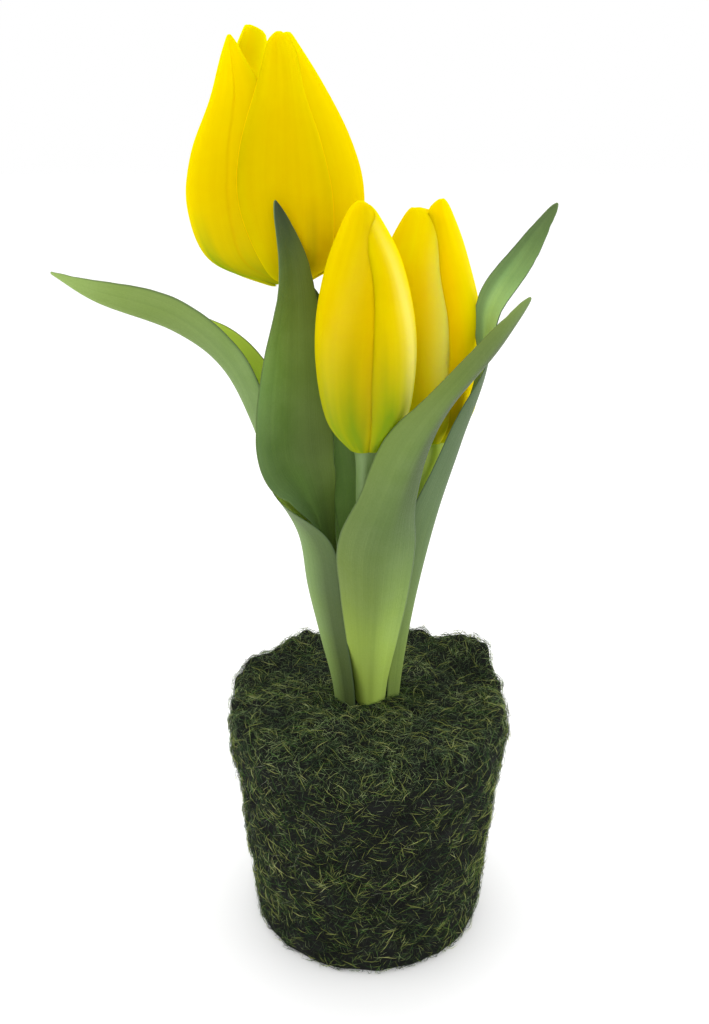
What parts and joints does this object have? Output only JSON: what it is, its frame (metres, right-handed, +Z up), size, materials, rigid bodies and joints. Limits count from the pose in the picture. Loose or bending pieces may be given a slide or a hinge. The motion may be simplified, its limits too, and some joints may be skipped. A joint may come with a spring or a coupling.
{
  "type": "potted tulip",
  "caption": "Yellow tulips in bud with long folded leaves, growing upright from a flat-bottomed, pot-shaped root ball covered in dark moss.",
  "frame": {"origin": "centre of the root ball's flat underside, on the surface that it stands on", "axes": "+Z up along the plant; -Y is the front; +X is to the right as seen from the front"},
  "size_m": [0.1372, 0.0905, 0.2711],
  "materials": {
    "moss": "rough dark fibrous moss over peat",
    "stem": "smooth pale green, satin",
    "leaf": "glaucous green, satin",
    "petal": "smooth yellow, satin",
    "heart": "matt olive yellow"
  },
  "bodies": {
    "root": {"root_ball": "moss", "stem_tall": "stem", "stem_front": "stem", "stem_right": "stem", "leaf_far_left": "leaf", "leaf_upright": "leaf", "leaf_front": "leaf", "leaf_right": "leaf", "leaf_middle": "leaf", "petal_tall_outer_1": "petal", "petal_tall_outer_2": "petal", "petal_tall_outer_3": "petal", "petal_tall_inner_1": "petal", "petal_tall_inner_2": "petal", "petal_tall_inner_3": "petal", "heart_tall": "heart", "petal_front_outer_1": "petal", "petal_front_outer_2": "petal", "petal_front_outer_3": "petal", "petal_front_inner_1": "petal", "petal_front_inner_2": "petal", "petal_front_inner_3": "petal", "heart_front": "heart", "petal_right_outer_1": "petal", "petal_right_outer_2": "petal", "petal_right_outer_3": "petal", "petal_right_inner_1": "petal", "petal_right_inner_2": "petal", "petal_right_inner_3": "petal", "heart_right": "heart"}
  },
  "joints": []
}
